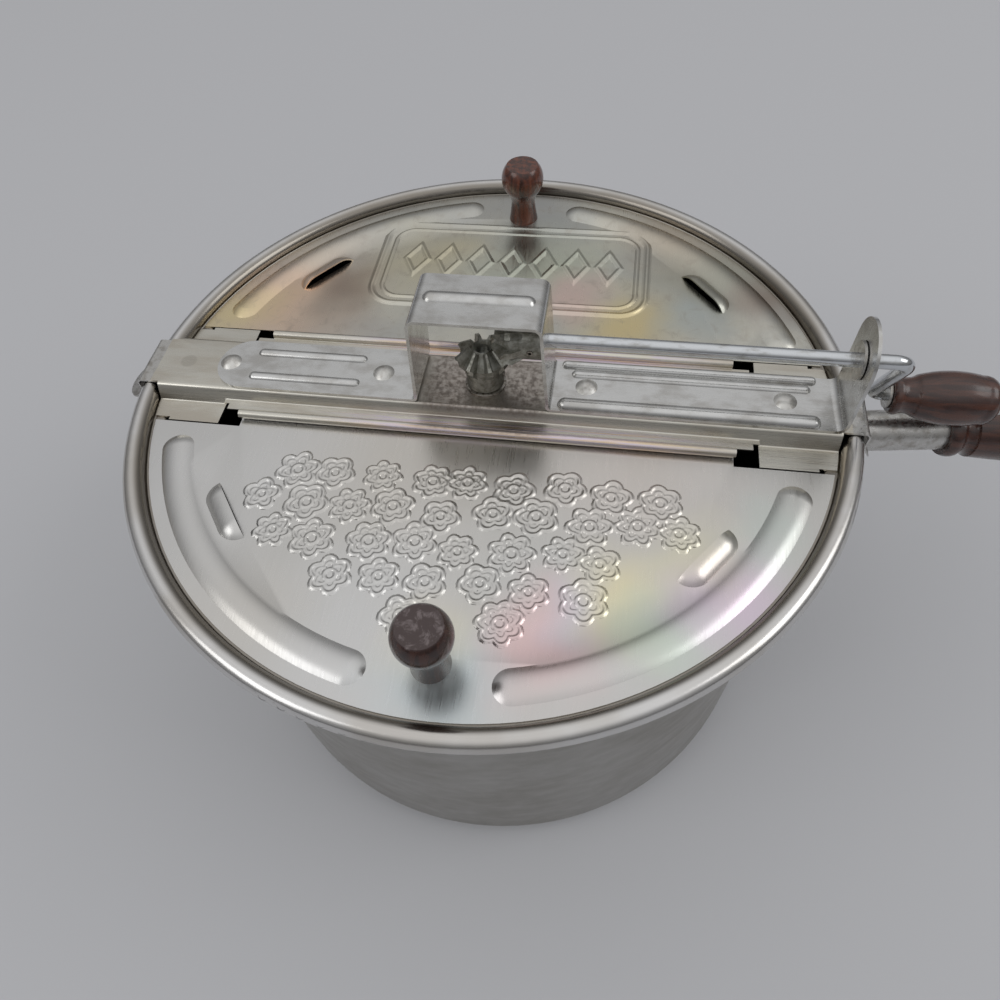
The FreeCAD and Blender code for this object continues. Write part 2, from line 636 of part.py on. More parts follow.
# Bevel gears: both are this gear, with the apex where the two shafts' axes meet at the
# origin and the hub towards -Z. Every tooth is a frustum that shrinks towards the apex.
def make_gear(first_tooth):
    slant = gear_pitch_r * math.sqrt(2)
    inner_share = (slant - tooth_face) / slant

    def at(height, share):
        return (share * (gear_pitch_r + height * math.sqrt(0.5)),
                share * (-gear_pitch_r + height * math.sqrt(0.5)))

    root_out, root_in = at(-tooth_root, 1.0), at(-tooth_root, inner_share - 0.05)
    hub_r = hub_d / 2
    bore = rod_r + hole_clear
    body = turned([(bore, -hub_back), (hub_r - 0.4, -hub_back), (hub_r, -hub_back + 0.4), (hub_r, -hub_back + 7.0),
                   root_out, root_in, (bore, root_in[1] - 1.2)])
    tooth_pieces = []
    sink = tooth_root + 0.5
    wires = []
    for share in (1.0, inner_share):
        corners = []
        for height, half_w in ((tooth_top, tooth_half_tip), (-sink, tooth_half_root)):
            r, z = at(height, share)
            corners.append((r, half_w * share, z))
        (r0, w0, z0), (r1, w1, z1) = corners
        quad = [Vector(r0, -w0, z0), Vector(r0, w0, z0), Vector(r1, w1, z1), Vector(r1, -w1, z1)]
        wires.append(Part.makePolygon(quad + quad[:1]))
    blade = Part.makeLoft(wires, True, True)
    # a buttress carries each blade's outer end down to the hub
    tip_r, tip_z = at(tooth_top * 0.2, 1.0)
    foot_z = -hub_back + 6.2
    outline = [(tip_r - 0.25, tip_z - 0.25), (tip_r - 0.1, tip_z - 2.0), (hub_r - 0.1, foot_z),
               (hub_r - 1.6, foot_z), (root_out[0] - 1.2, root_out[1] - 0.4)]
    wall = Part.makePolygon([Vector(r, -tooth_half_root * 0.72, z) for r, z in outline + outline[:1]])
    buttress = Part.Face(wall).extrude(Vector(0, tooth_half_root * 1.44, 0))
    tooth = blade.fuse(buttress)
    for i in range(gear_teeth):
        piece = tooth.copy()
        piece.rotate(Vector(), Vector(0, 0, 1), (i + 0.5) * 360 / gear_teeth)
        tooth_pieces.append(piece)
    gear = body.fuse(tooth_pieces)
    gear = gear.cut(Part.makeCylinder(bore, 2 * hub_back, Vector(0, 0, -hub_back - 1)))
    gear.rotate(Vector(), Vector(0, 0, 1), first_tooth - 180 / gear_teeth)
    return gear.cut(rod(pin_d / 2 + hole_clear, Vector(0, -hub_r - 2, -pin_back), Vector(0, hub_r + 2, -pin_back)))


def make_pin():
    length = hub_d / 2 + 0.25
    pin = rod(pin_d / 2, Vector(0, -length, -pin_back), Vector(0, length, -pin_back))
    return pin.cut(rod(pin_d / 4, Vector(0, -length - 1, -pin_back), Vector(0, length + 1, -pin_back)))


def on_stirrer(shape, quarter=0):
    out = shape.copy()
    out.rotate(Vector(), Vector(0, 0, 1), quarter)
    out.translate(Vector(0, 0, rod_z))
    return out


def on_crank(shape):
    out = shape.copy()
    out.rotate(Vector(), Vector(0, 1, 0), -90)
    out.translate(Vector(0, 0, rod_z))
    return out


# Crank rod: straight through the bracket, bent out to the throw and back to a spindle
lean = math.radians(crank_lean)
arm_dir = Vector(0, math.sin(lean), -math.cos(lean))
rod_axis = Vector(0, 0, rod_z)
spindle_axis = rod_axis + arm_dir * crank_throw
knob_start = crank_x + crank_bend_r + washer_t + 0.4
knob_end = knob_start + crank_knob_len
spindle_end = knob_end + washer_t + 2.6


def make_crank_rod():
    x_dir = Vector(1, 0, 0)
    b = crank_bend_r
    first = rod_axis + x_dir * crank_x
    second = spindle_axis + x_dir * crank_x
    near = 1 - math.sqrt(0.5)
    edges = [line(rod_axis + x_dir * shaft_back, first - x_dir * b),
             Part.Arc(first - x_dir * b, first - x_dir * (b * near) + arm_dir * (b * near),
                      first + arm_dir * b).toShape(),
             line(first + arm_dir * b, second - arm_dir * b),
             Part.Arc(second - arm_dir * b, second - arm_dir * (b * near) + x_dir * (b * near),
                      second + x_dir * b).toShape(),
             line(second + x_dir * b, spindle_axis + x_dir * spindle_end)]
    path = Part.Wire(edges)
    ring = Part.Wire(Part.makeCircle(rod_r, rod_axis + x_dir * shaft_back, x_dir))
    body = path.makePipeShell([ring], True, False)
    return body.cut(on_crank(rod(pin_d / 2 + hole_clear, Vector(0, -9, -pin_back), Vector(0, 9, -pin_back))))


def washer_on(axis, x, outer):
    ring = rod(outer, axis + Vector(x, 0, 0), axis + Vector(x + washer_t, 0, 0))
    return ring.cut(rod(rod_r + hole_clear, axis + Vector(x - 1, 0, 0), axis + Vector(x + 3, 0, 0)))


def make_crank_knob():
    r, n = crank_knob_r, crank_knob_len
    knob = turned([(rod_r + run_clear, 0), (r * 0.62, 0), (r * 0.72, 1.0, 0), (r * 0.72, 2.6),
                   (r * 0.66, 5.0, 0), (r * 0.78, 8.0), (r, n * 0.58, 0), (r * 0.9, n - 5),
                   (r * 0.78, n - 1.4, 0), (r * 0.55, n), (rod_r + run_clear, n)])
    return to_x(knob, knob_start, spindle_axis.y, spindle_axis.z)


def make_crank_cap():
    """Push-on cap nut that keeps the knob on its spindle."""
    x = knob_end + washer_t + 0.3
    cup = turned([(rod_r + 0.02, 0), (4.4, 0), (4.2, 1.6, 0), (2.4, 3.4), (0, 3.4), (0, 2.4), (rod_r + 0.02, 2.4)])
    return to_x(cup, x, spindle_axis.y, spindle_axis.z)


# Stirrer: shaft through the bushing, clip below it, and one wire through its foot
shaft_top = rod_z - shaft_back
shaft_foot = wire_z - wire_d / 2 - 0.6
bush_low = bar_top - bar_t - bush_swage_h


def make_stirrer_shaft():
    shaft = Part.makeCylinder(rod_r, shaft_top - shaft_foot, Vector(0, 0, shaft_foot))
    foot_end = [e for e in shaft.Edges if e.BoundBox.ZMax < shaft_foot + 0.01]
    shaft = shaft.makeChamfer(0.5, foot_end)
    shaft = shaft.cut(rod(wire_d / 2 + hole_clear, Vector(-9, 0, wire_z), Vector(9, 0, wire_z)))
    shaft = shaft.cut(on_stirrer(rod(pin_d / 2 + hole_clear, Vector(0, -9, -pin_back), Vector(0, 9, -pin_back)), 90))
    groove = Part.makeCylinder(rod_r + 1, 0.9, Vector(0, 0, clip_low - 0.05))
    return shaft.cut(groove.cut(Part.makeCylinder(rod_r - 0.6, 2, Vector(0, 0, clip_low - 1))))


thrust_low = bush_low - 0.15 - washer_t
clip_low = thrust_low - 0.15 - washer_t


def make_thrust_washer():
    ring = Part.makeCylinder(bush_body_r + 1.0, washer_t, Vector(0, 0, thrust_low))
    return ring.cut(Part.makeCylinder(rod_r + hole_clear, 4, Vector(0, 0, thrust_low - 1)))


def make_stirrer_clip():
    ring = Part.makeCylinder(bush_body_r + 0.2, washer_t, Vector(0, 0, clip_low))
    ring = ring.cut(Part.makeCylinder(rod_r - 0.55, 4, Vector(0, 0, clip_low - 1)))
    ring = ring.cut(box(0, -rod_r + 0.9, clip_low - 1, 10, rod_r - 0.9, clip_low + 2))
    for y in (-1, 1):
        lobe = Part.makeCylinder(0.8, 4, Vector(-rod_r - 0.1, y * 2.1, clip_low - 1))
        ring = ring.cut(lobe)
    return ring


def make_stirrer_wire():
    bend = wire_bend_r
    near = bend * (1 - math.sqrt(0.5))
    z = wire_z
    left, right = Vector(-wire_reach, 0, z), Vector(wire_reach, 0, z)
    up, x_dir = Vector(0, 0, 1), Vector(1, 0, 0)
    edges = [line(left + up * (bend + wire_tip), left + up * bend),
             Part.Arc(left + up * bend, left + x_dir * near + up * near, left + x_dir * bend).toShape(),
             line(left + x_dir * bend, right - x_dir * bend),
             Part.Arc(right - x_dir * bend, right - x_dir * near + up * near, right + up * bend).toShape(),
             line(right + up * bend, right + up * (bend + wire_tip))]
    ring = Part.Wire(Part.makeCircle(wire_d / 2, left + up * (bend + wire_tip), Vector(0, 0, -1)))
    return Part.Wire(edges).makePipeShell([ring], True, False)


def build():
    nodes = {
        "pot": make_pot(),
        "pot_bottom": make_pot_bottom(),
        "handle_bracket": make_saddle(),
        "handle_rivets": make_handle_rivets(),
        "handle_ferrule": make_ferrule(),
        "handle_grip": make_grip(),
        "handle_bolt": make_handle_bolt(),
        "handle_washer": make_handle_washer(),
        "crossbar": make_crossbar(),
        "gear_bracket": make_bracket(),
        "bracket_rivets": make_bracket_rivets(),
        "stirrer_bushing": make_bushing(),
        "left_rim_clip": make_rim_clip(-1),
        "right_rim_clip": make_rim_clip(1),
        "crank_rod": make_crank_rod(),
        "crank_gear": on_crank(make_gear(0.0)),
        "crank_gear_pin": on_crank(make_pin()),
        "crank_rod_washer": washer_on(rod_axis, upright_x - bracket_t / 2 - washer_t - 0.3, rod_r + 3.6),
        "crank_knob": make_crank_knob(),
        "crank_knob_washers": Part.makeCompound([
            washer_on(spindle_axis, knob_start - washer_t - 0.2, rod_r + 2.4),
            washer_on(spindle_axis, knob_end + 0.2, rod_r + 2.4)]),
        "crank_knob_cap": make_crank_cap(),
        "stirrer_shaft": make_stirrer_shaft(),
        "stirrer_gear": on_stirrer(make_gear(180.0 / gear_teeth), 90),
        "stirrer_gear_pin": on_stirrer(make_pin(), 90),
        "stirrer_thrust_washer": make_thrust_washer(),
        "stirrer_clip": make_stirrer_clip(),
        "stirrer_wire": make_stirrer_wire(),
    }
    for side, name in ((-1, "front"), (1, "rear")):
        nodes[name + "_lid"] = make_leaf(side)
        nodes[name + "_lid_knob"] = make_lid_knob(side)
        nodes[name + "_knob_washer"] = make_knob_washer(side)
        nodes[name + "_knob_screw"] = make_knob_screw(side)
    return nodes


os.makedirs("parts", exist_ok=True)
for node, shape in build().items():
    shape.exportStep("parts/" + node + ".step")
    print(f"{node:24s} solids {len(shape.Solids)} valid {shape.isValid()} volume {shape.Volume:10.1f} "
          f"x {shape.BoundBox.XMin:7.1f} {shape.BoundBox.XMax:7.1f} "
          f"y {shape.BoundBox.YMin:7.1f} {shape.BoundBox.YMax:7.1f} "
          f"z {shape.BoundBox.ZMin:6.1f} {shape.BoundBox.ZMax:6.1f}")
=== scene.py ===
# Stovetop popcorn popper: a spun pot with a wooden side handle, a tinplate lid with two hinged
# leaves, and a side crank that turns a wire stirrer through bevel gears. Seen from the front
# and above.
import math
import bpy
import numpy as np
from mathutils import Matrix, Vector


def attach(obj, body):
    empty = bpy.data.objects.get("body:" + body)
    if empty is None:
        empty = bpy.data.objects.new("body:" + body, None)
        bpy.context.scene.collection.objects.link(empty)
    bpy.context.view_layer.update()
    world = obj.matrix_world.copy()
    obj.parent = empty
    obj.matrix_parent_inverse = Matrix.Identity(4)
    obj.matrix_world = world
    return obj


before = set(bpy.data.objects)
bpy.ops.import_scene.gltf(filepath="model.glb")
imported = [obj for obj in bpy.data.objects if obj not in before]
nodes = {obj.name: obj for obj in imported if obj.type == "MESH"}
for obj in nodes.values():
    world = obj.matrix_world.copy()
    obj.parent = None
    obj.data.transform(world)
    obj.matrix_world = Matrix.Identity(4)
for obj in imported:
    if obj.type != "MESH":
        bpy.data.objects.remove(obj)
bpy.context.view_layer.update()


# Room: a pale table top under a soft ceiling glow that fades to a dim skirting, with one wide
# lamp high at the right and a weaker one at the left.
def put(tree, kind, inputs=None, **settings):
    """Adds a shader node; an input may be a value or another node's socket."""
    made = tree.nodes.new(kind)
    for key, value in settings.items():
        setattr(made, key, value)
    for key, value in (inputs or {}).items():
        if hasattr(value, "links"):
            tree.links.new(value, made.inputs[key])
        else:
            made.inputs[key].default_value = value
    return made


def ramp(tree, value, stops):
    """Colours a value from 0 to 1 by stops of (place, colour), in order."""
    made = put(tree, "ShaderNodeValToRGB", {"Fac": value})
    elements = made.color_ramp.elements
    for element, (place, tint) in zip((elements[0], elements[1]), (stops[0], stops[-1])):
        element.position, element.color = place, (*tint, 1)
    for place, tint in stops[1:-1]:
        elements.new(place).color = (*tint, 1)
    return made.outputs["Color"]


table_width = 9.0
table_drop = 0.0002  # keeps the table top clear of the pot's flat base
bpy.ops.object.select_all(action="DESELECT")
bpy.ops.mesh.primitive_plane_add(size=table_width, location=(0, 0, -table_drop))
table_top = bpy.context.object
table_top.name = "table_top"
table_paint = bpy.data.materials.new("table_paint")
table_paint.use_nodes = True
paint = table_paint.node_tree.nodes["Principled BSDF"]
paint.inputs["Base Color"].default_value = (0.56, 0.565, 0.585, 1)
paint.inputs["Roughness"].default_value = 0.75
paint.inputs["Specular IOR Level"].default_value = 0.2
table_top.data.materials.append(table_paint)

room = bpy.data.worlds.new("room")
bpy.context.scene.world = room
room.use_nodes = True
sky = room.node_tree
for old in list(sky.nodes):
    sky.nodes.remove(old)
sky_way = put(sky, "ShaderNodeTexCoord").outputs["Generated"]
sky_height = put(sky, "ShaderNodeSeparateXYZ", {0: sky_way}).outputs["Z"]
skirting, ceiling = (0.0, (0.15, 0.15, 0.155)), (0.95, (0.82, 0.82, 0.825))
between = [(height, (level, level, level * 1.01))
           for height, level in ((0.15, 0.20), (0.45, 0.33), (0.60, 0.50), (0.80, 0.74))]
sky_colour = ramp(sky, sky_height, [skirting, *between, ceiling])
sky_glow = put(sky, "ShaderNodeBackground", {"Color": sky_colour}).outputs[0]
put(sky, "ShaderNodeOutputWorld", {"Surface": sky_glow})

for name, size, spot, aim, power in (
        ("right_lamp", (1.5, 1.2), (1.9, 0.1, 1.7), (0.03, 0.0, 0.12), 9.0),
        ("left_lamp", (1.2, 1.0), (-1.5, -0.9, 1.6), (0, 0, 0.12), 5.0)):
    lamp = bpy.data.lights.new(name, "AREA")
    lamp.shape = "RECTANGLE"
    lamp.size, lamp.size_y = size
    lamp.energy = power
    holder = bpy.data.objects.new(name, lamp)
    holder.location = spot
    holder.rotation_euler = (Vector(aim) - Vector(spot)).to_track_quat("-Z", "Y").to_euler()
    bpy.context.scene.collection.objects.link(holder)

camera_spot = (0.0391, -0.1701, 0.3354)
ahead = Vector((-0.1242, 0.5556, -0.8221)).normalized()
across = Vector((0.9882, 0.1444, -0.0516))
across = (across - ahead * across.dot(ahead)).normalized()
above = across.cross(ahead)
turn = Matrix((across, above, -ahead)).transposed().to_4x4()
lens = bpy.data.cameras.new("camera")
lens.lens, lens.sensor_width = 27.0, 36.0
lens.clip_start = 0.01
camera = bpy.data.objects.new("camera", lens)
camera.matrix_world = Matrix.Translation(camera_spot) @ turn
bpy.context.scene.collection.objects.link(camera)
bpy.context.scene.camera = camera
bpy.context.scene.view_settings.view_transform = "Standard"


# Pot: spun from one aluminium sheet and closed at the rim by a rolled bead. Years on the hob
# have left the wall dull and brownish, and the bead is rubbed bright.
def finish(name, colour, roughness, metallic=1.0):
    """A new material with flat values, which the patterns are then linked over."""
    material = bpy.data.materials.new(name)
    material.use_nodes = True
    shader = material.node_tree.nodes["Principled BSDF"]
    shader.inputs["Base Color"].default_value = (*colour, 1)
    shader.inputs["Roughness"].default_value = roughness
    shader.inputs["Metallic"].default_value = metallic
    return material, material.node_tree, shader


def cover(tree, shader, colour=None, roughness=None):
    """Links patterns over a finish's flat colour and roughness."""
    for key, value in (("Base Color", colour), ("Roughness", roughness)):
        if value is not None:
            tree.links.new(value, shader.inputs[key])


def position(tree):
    """The place on the object, in metres."""
    return put(tree, "ShaderNodeTexCoord").outputs["Object"]


def noise(tree, where, detail, **more):
    inputs = {"Vector": where, "Scale": 1.0, "Detail": detail, **more}
    return put(tree, "ShaderNodeTexNoise", inputs).outputs["Fac"]


def spots(tree, per_mm, detail=3.0, shift=(0, 0, 0), rough=0.5, warp=0.0):
    """Cloudy noise with so many spots per millimetre along X, Y and Z."""
    size = {"Vector": position(tree), "Scale": [1000 * s for s in per_mm], "Location": shift}
    where = put(tree, "ShaderNodeMapping", size).outputs[0]
    return noise(tree, where, detail, Roughness=rough, Distortion=warp)


def scale_to(tree, value, low, high, to_low=0.0, to_high=1.0):
    """Maps low and high smoothly to to_low and to_high."""
    inputs = {"Value": value, "From Min": low, "From Max": high, "To Min": to_low,
              "To Max": to_high}
    made = put(tree, "ShaderNodeMapRange", inputs, interpolation_type="SMOOTHSTEP")
    return made.outputs["Result"]


def clouds(tree, per_mm, detail, low, high, to_low=0.0, to_high=1.0, **more):
    """Spots with their contrast set by scale_to."""
    return scale_to(tree, spots(tree, per_mm, detail, **more), low, high, to_low, to_high)


def mix(tree, share, first, second):
    """Blends two colours, or two patterns, by a share from 0 to 1."""
    first, second = (end if hasattr(end, "links") else (*end, 1) for end in (first, second))
    made = put(tree, "ShaderNodeMix", {0: share, 6: first, 7: second}, data_type="RGBA")
    return made.outputs[2]


def maths(tree, operation, *values):
    made = put(tree, "ShaderNodeMath", dict(enumerate(values)), operation=operation)
    return made.outputs[0]


def times(tree, a, b):
    return maths(tree, "MULTIPLY", a, b)


def vector_maths(tree, operation, *values, output=0):
    made = put(tree, "ShaderNodeVectorMath", dict(enumerate(values)), operation=operation)
    return made.outputs[output]


def raise_by(tree, shader, height, millimetres, strength=1.0, over=None):
    """Gives the surface a fine relief, over another relief if one is given."""
    inputs = {"Height": height, "Distance": millimetres / 1000, "Strength": strength}
    if over is not None:
        inputs["Normal"] = over
    bump = put(tree, "ShaderNodeBump", inputs)
    tree.links.new(bump.outputs[0], shader.inputs["Normal"])
    return bump.outputs[0]


weld_reach = 2e-6


def dress(name, material, sharp=32):
    """Gives a carried-over piece its finish, and rounds its shading up to the sharp edges."""
    piece = nodes[name]
    piece.data.materials.clear()
    piece.data.materials.append(material)
    piece.data.polygons.foreach_set("use_smooth", [True] * len(piece.data.polygons))
    weld = piece.modifiers.new("weld", "WELD")
    weld.merge_threshold = weld_reach
    split = piece.modifiers.new("edges", "EDGE_SPLIT")
    split.split_angle = math.radians(sharp)


bead_foot, bead_shoulder = 0.1435, 0.1455  # heights between which the wall turns into the bead
groove_outside, groove_inside = 0.1172, 0.1150  # radii over which the groove at the bead's foot gets painted shade
spin_lines_per_metre = 1400.0

spun, tree, shader = finish("spun_aluminium", (0.6, 0.58, 0.56), 0.3)
east, north, up = put(tree, "ShaderNodeSeparateXYZ", {0: position(tree)}).outputs
flat = put(tree, "ShaderNodeCombineXYZ", {0: east, 1: north}).outputs[0]
radius = vector_maths(tree, "LENGTH", flat, output="Value")
lines = put(tree, "ShaderNodeCombineXYZ", {0: times(tree, radius, spin_lines_per_metre),
                                           2: times(tree, up, spin_lines_per_metre)})
spin_lines = noise(tree, lines.outputs[0], 2.0)
dull = clouds(tree, (0.028, 0.028, 0.05), 6, 0.34, 0.70, rough=0.55)
on_bead = scale_to(tree, up, bead_foot, bead_shoulder)
groove_shade = scale_to(tree, radius, groove_outside, groove_inside)
smoked = clouds(tree, (0.02, 0.03, 0.0), 4, 0.42, 0.62, shift=(5, 1, 0))
wall_colour = mix(tree, dull, (0.41, 0.40, 0.38), (0.335, 0.32, 0.295))
bead_colour = mix(tree, times(tree, smoked, 0.45), (0.68, 0.67, 0.66), (0.45, 0.41, 0.35))
# Painted shade: the bead darkens to a deep brown in the groove on its inner side.
bead_colour = mix(tree, times(tree, groove_shade, 0.8), bead_colour, (0.20, 0.175, 0.14))
wall_roughness = clouds(tree, (0.12, 0.12, 0.2), 4, 0.3, 0.7, 0.36, 0.48)
bead_roughness = scale_to(tree, spin_lines, 0.3, 0.7, 0.17, 0.28)
cover(tree, shader, mix(tree, on_bead, wall_colour, bead_colour),
      mix(tree, on_bead, wall_roughness, bead_roughness))
raise_by(tree, shader, spin_lines, 0.010, 0.5)
for name in ("pot", "pot_bottom"):
    dress(name, spun)


# Handle: a pressed steel saddle riveted to the wall, a plain steel ferrule, and a turned wooden
# grip with a dark glossy stain, drawn up by a long slotted bolt.
plain_steel, tree, shader = finish("plain_steel", (0.55, 0.54, 0.52), 0.34)
darkened = clouds(tree, (0.3, 0.3, 0.3), 4, 0.45, 0.7)
cover(tree, shader, mix(tree, darkened, (0.58, 0.57, 0.55), (0.40, 0.38, 0.35)),
      clouds(tree, (0.9, 0.9, 0.9), 3, 0.3, 0.7, 0.24, 0.42))
raise_by(tree, shader, spots(tree, (2.2, 2.2, 2.2), 3), 0.01, 0.4)

soft_aluminium, tree, shader = finish("soft_aluminium", (0.66, 0.65, 0.62), 0.38)
darkened = clouds(tree, (0.5, 0.5, 0.5), 4, 0.4, 0.7)
cover(tree, shader, mix(tree, darkened, (0.70, 0.69, 0.66), (0.50, 0.48, 0.45)))
raise_by(tree, shader, spots(tree, (1.1, 1.1, 1.1), 4), 0.05, 0.5)

grip_wood, tree, shader = finish("grip_wood", (0.06, 0.02, 0.014), 0.3, 0.0)
growth = clouds(tree, (0.05, 0.5, 0.5), 4, 0.35, 0.68, warp=0.6)
cover(tree, shader, mix(tree, growth, (0.030, 0.009, 0.006), (0.085, 0.026, 0.013)),
      clouds(tree, (0.3, 0.7, 0.7), 4, 0.35, 0.7, 0.24, 0.42))
shader.inputs["Coat Weight"].default_value = 0.6
shader.inputs["Coat Roughness"].default_value = 0.16
raise_by(tree, shader, spots(tree, (0.2, 2.4, 2.4), 3), 0.05, 0.35)

dress("handle_rivets", soft_aluminium)
dress("handle_grip", grip_wood)
for name in ("handle_bracket", "handle_ferrule", "handle_bolt", "handle_washer"):
    dress(name, plain_steel)


# Crossbar: a folded tinplate channel over the pot's mouth, with a hinge curl along each side.
# Heat has tinted the curls gold, pink and violet; under the gear box the top is painted brown, an
# oily stain plus painted shade.
curl_starts, curl_full = 0.0125, 0.0155  # distances from the bar's middle line
heat_middle, heat_full, heat_ends = 0.012, 0.03, 0.075  # along the bar
oil_and_shade_full, oil_and_shade_ends = 0.016, 0.026
oil_and_shade_foot, oil_and_shade_top = 0.1500, 0.1515  # heights between which the oily stain and the painted shade under the gear box start
marks = [(-0.1055, 0.0, 0.1527), (0.1065, 0.0, 0.1527)]  # one dull round mark at each end
mark_full, mark_ends = 0.0024, 0.0032
heat_tints = [(0.30, (0.70, 0.52, 0.30)), (0.42, (0.78, 0.62, 0.52)), (0.50, (0.66, 0.58, 0.74)),
              (0.58, (0.74, 0.70, 0.60)), (0.72, (0.72, 0.70, 0.62))]
sheet_edges = 28  # degrees past which a bend in the tin shows as an edge

tin_bar, tree, shader = finish("crossbar_tinplate", (0.62, 0.60, 0.54), 0.3)
along, side, up = put(tree, "ShaderNodeSeparateXYZ", {0: position(tree)}).outputs
cloud = clouds(tree, (0.03, 0.12, 0.12), 4, 0.38, 0.66, rough=0.6)
colour = mix(tree, cloud, (0.63, 0.61, 0.55), (0.54, 0.50, 0.43))
on_curl = scale_to(tree, maths(tree, "ABSOLUTE", side), curl_starts, curl_full)
streak = spots(tree, (0.028, 0.9, 0.9), 3, shift=(3.1, 0, 0), warp=0.4)
from_heat = maths(tree, "ABSOLUTE", maths(tree, "SUBTRACT", along, heat_middle))
hot = times(tree, on_curl, scale_to(tree, from_heat, heat_ends, heat_full, 0.0, 0.85))
colour = mix(tree, hot, colour, ramp(tree, streak, heat_tints))
# Painted shade: the bar's top under the gear box is darkened brown, together with an oily stain
# that also changes its roughness.
near_gears = scale_to(tree, maths(tree, "ABSOLUTE", along), oil_and_shade_ends, oil_and_shade_full)
blotch = clouds(tree, (0.55, 0.55, 0.55), 6, 0.34, 0.64, rough=0.66)
oil_and_shade = times(tree, near_gears, scale_to(tree, up, oil_and_shade_foot, oil_and_shade_top))
oil_and_shade_colour = mix(tree, blotch, (0.20, 0.165, 0.145), (0.40, 0.36, 0.33))
colour = mix(tree, times(tree, oil_and_shade, 0.8), colour, oil_and_shade_colour)
for mark in marks:
    away = vector_maths(tree, "DISTANCE", position(tree), mark, output="Value")
    on_mark = times(tree, scale_to(tree, away, mark_ends, mark_full), 0.35)
    colour = mix(tree, on_mark, colour, (0.36, 0.34, 0.30))
brushed = spots(tree, (0.05, 2.6, 2.6), 3)
dry_roughness = scale_to(tree, brushed, 0.3, 0.7, 0.24, 0.36)
oily_roughness = scale_to(tree, blotch, 0, 1, 0.55, 0.34)
cover(tree, shader, colour, mix(tree, oil_and_shade, dry_roughness, oily_roughness))
grain_up = raise_by(tree, shader, brushed, 0.004, 0.35)
raise_by(tree, shader, spots(tree, (0.35, 0.35, 0.35), 4), 0.02, 0.25, over=grain_up)
dress("crossbar", tin_bar, sheet_edges)

for name in ("left_rim_clip", "right_rim_clip"):
    dress(name, plain_steel, sheet_edges)


# Gear bracket: one bright steel strip bent into two feet, a box over the gears and an end
# upright, stiffened by pressed ribs, and fixed through the crossbar by four soft rivets.
hard_edges = 24  # degrees, for the crisp bends here and the gear teeth further down
scratch_slant = 0.12

bright_steel, tree, shader = finish("bracket_steel", (0.62, 0.62, 0.61), 0.22)
worn = clouds(tree, (0.10, 0.16, 0.16), 5, 0.40, 0.68, rough=0.6)
slanted = {"Vector": position(tree), "Scale": (160, 1500, 1500), "Rotation": (0, 0, scratch_slant)}
scratches = noise(tree, put(tree, "ShaderNodeMapping", slanted).outputs[0], 3.0)
cover(tree, shader, mix(tree, worn, (0.64, 0.64, 0.63), (0.50, 0.49, 0.47)),
      scale_to(tree, scratches, 0.3, 0.72, 0.19, 0.29))
raise_by(tree, shader, scratches, 0.004, 0.35)
dress("gear_bracket", bright_steel, hard_edges)
dress("bracket_rivets", soft_aluminium)


# Crank and stirrer: drawn rod with a bright plating for the two shafts, plain steel for the
# washers, clip and wire, and a turned wooden knob stained like the grip.
plated_rod, tree, shader = finish("rod_plating", (0.62, 0.64, 0.66), 0.12)
fine = spots(tree, (0.12, 1.8, 1.8), 3)
rubbed = clouds(tree, (0.2, 0.5, 0.5), 4, 0.5, 0.75)
cover(tree, shader, mix(tree, rubbed, (0.64, 0.66, 0.68), (0.46, 0.46, 0.45)),
      scale_to(tree, fine, 0.35, 0.7, 0.07, 0.22))
raise_by(tree, shader, fine, 0.006, 0.4)
for name in ("crank_rod", "stirrer_shaft"):
    dress(name, plated_rod)
for name in ("crank_rod_washer", "crank_knob_washers", "crank_knob_cap",
             "stirrer_thrust_washer", "stirrer_clip", "stirrer_wire"):
    dress(name, plain_steel)
dress("crank_knob", grip_wood)


# Bevel gears: two equal zinc castings, dull olive grey from oil, each fixed to its shaft by a
# split spring pin whose open end shows on the hub.
zinc, tree, shader = finish("gear_zinc", (0.30, 0.30, 0.27), 0.45, 0.8)
film = clouds(tree, (0.35, 0.35, 0.35), 5, 0.38, 0.66, rough=0.65)
cover(tree, shader, mix(tree, film, (0.40, 0.40, 0.36), (0.22, 0.215, 0.18)),
      clouds(tree, (1.4, 1.4, 1.4), 4, 0.3, 0.7, 0.36, 0.58))
raise_by(tree, shader, spots(tree, (2.0, 2.0, 2.0), 4), 0.03, 0.4)
for name in ("crank_gear", "stirrer_gear"):
    dress(name, zinc, hard_edges)

oiled_steel, tree, shader = finish("oiled_steel", (0.30, 0.28, 0.25), 0.32)
darkened = clouds(tree, (0.9, 0.9, 0.9), 4, 0.4, 0.7)
cover(tree, shader, mix(tree, darkened, (0.34, 0.32, 0.29), (0.14, 0.12, 0.10)))
for name in ("crank_gear_pin", "stirrer_gear_pin", "stirrer_bushing"):
    dress(name, oiled_steel)


# Lid leaves: satin tinplate with a fine upright grain. Heat has left a soft rainbow on the front
# leaf, and cloudy yellow, brown and blue-grey stains on the rear one.
shake_scale, shake_reach = 34.0, 0.030


def tint_at(tree, colour, place, reach, strength, tint):
    """Blends a tint into the colour around a place on the lid, given in millimetres."""
    point = position(tree)
    inputs = {"Vector": point, "Scale": shake_scale, "Detail": 2.0}
    shake = put(tree, "ShaderNodeTexNoise", inputs).outputs["Color"]
    shift = vector_maths(tree, "SUBTRACT", shake, (0.5, 0.5, 0.5))
    reached = put(tree, "ShaderNodeVectorMath", {0: shift, "Scale": shake_reach},
                  operation="SCALE").outputs[0]
    flat = vector_maths(tree, "MULTIPLY", vector_maths(tree, "ADD", point, reached), (1, 1, 0))
    middle = (place[0] / 1000, place[1] / 1000, 0)
    away = vector_maths(tree, "DISTANCE", flat, middle, output="Value")
    return mix(tree, scale_to(tree, away, reach / 1000, 0.0, 0.0, strength), colour, tint)


